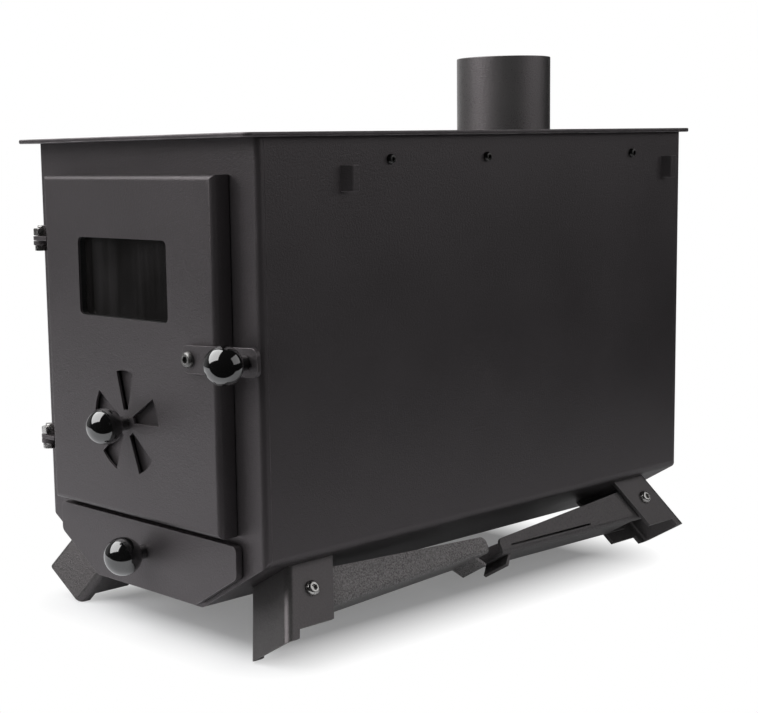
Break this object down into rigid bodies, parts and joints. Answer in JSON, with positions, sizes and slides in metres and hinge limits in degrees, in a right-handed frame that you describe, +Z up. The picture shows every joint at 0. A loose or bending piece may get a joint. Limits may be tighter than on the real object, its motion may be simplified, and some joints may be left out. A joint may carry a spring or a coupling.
{
  "type": "portable wood stove",
  "caption": "Portable sheet-steel wood stove with a keel-shaped body, glazed door, air damper, ash drawer, flue collar and folding legs, for heating a tent or a fishing shelter.",
  "frame": {"origin": "on the floor, under the middle of the stove's outline", "axes": "+Z up along the flue, +X to the right of someone who faces the door, +Y from the door towards the rear panel"},
  "size_m": [0.2743, 0.5044, 0.4023],
  "materials": {
    "stove_paint": "satin charcoal heat-proof paint with a fine grain",
    "soot_steel": "dark, matt, heat-stained steel",
    "zinc": "bright zinc-plated steel",
    "knob": "polished black",
    "glass": "dark ceramic glass",
    "gasket": "black woven glass-fibre tape"
  },
  "bodies": {
    "stove": {"shell": "stove_paint", "front_panel": "stove_paint", "rear_panel": "stove_paint", "top_plate": "stove_paint", "flue_collar": "stove_paint", "fire_grate": "soot_steel", "grate_ledges": "soot_steel", "drawer_runners": "soot_steel", "side_hooks": "stove_paint", "side_screws": "soot_steel", "body_hinge_ears": "stove_paint", "hinge_bolts": "zinc", "bracket_front_right": "stove_paint", "bracket_front_left": "stove_paint", "bracket_rear_right": "stove_paint", "bracket_rear_left": "stove_paint", "leg_bolts": "zinc"},
    "door": {"door_panel": "stove_paint", "window_gasket": "gasket", "window_glass": "glass", "glass_retainer": "soot_steel", "door_hinge_ears": "stove_paint", "latch_screw": "zinc"},
    "latch": {"latch_bar": "stove_paint", "latch_knob": "knob"},
    "damper": {"damper_disc": "stove_paint", "damper_spindle": "soot_steel", "damper_knob": "knob"},
    "drawer": {"drawer_front": "stove_paint", "ash_tray": "soot_steel", "drawer_knob": "knob"},
    "front_right_leg": {"leg_front_right": "stove_paint"},
    "front_left_leg": {"leg_front_left": "stove_paint"},
    "rear_right_leg": {"leg_rear_right": "stove_paint"},
    "rear_left_leg": {"leg_rear_left": "stove_paint"}
  },
  "joints": [
    {"name": "door_hinge", "type": "hinge", "parent": "stove", "child": "door", "pos_m": [-0.108, -0.21175, 0.198], "axis": [0, 0, -1], "range_deg": [0, 115]},
    {"name": "latch_pivot", "type": "hinge", "parent": "door", "child": "latch", "pos_m": [0.0715, -0.22, 0.19997], "axis": [0, -1, 0], "range_deg": [0, 90]},
    {"name": "damper_turn", "type": "hinge", "parent": "door", "child": "damper", "pos_m": [-0.0035, -0.22, 0.14973], "axis": [0, -1, 0], "range_deg": [0, 36]},
    {"name": "drawer_slide", "type": "slide", "parent": "stove", "child": "drawer", "axis": [0, -1, 0], "range_m": [0, 0.28]},
    {"name": "front_right_leg_fold", "type": "hinge", "parent": "stove", "child": "front_right_leg", "pos_m": [0.10141, -0.16425, 0.0361], "axis": [-0.8572, 0, -0.515], "range_deg": [0, 115]},
    {"name": "front_left_leg_fold", "type": "hinge", "parent": "stove", "child": "front_left_leg", "pos_m": [-0.10141, -0.16425, 0.0361], "axis": [-0.8572, 0, 0.515], "range_deg": [0, 115]},
    {"name": "rear_right_leg_fold", "type": "hinge", "parent": "stove", "child": "rear_right_leg", "pos_m": [0.10141, 0.20425, 0.0361], "axis": [0.8572, 0, 0.515], "range_deg": [0, 115]},
    {"name": "rear_left_leg_fold", "type": "hinge", "parent": "stove", "child": "rear_left_leg", "pos_m": [-0.10141, 0.20425, 0.0361], "axis": [0.8572, 0, -0.515], "range_deg": [0, 115]}
  ]
}
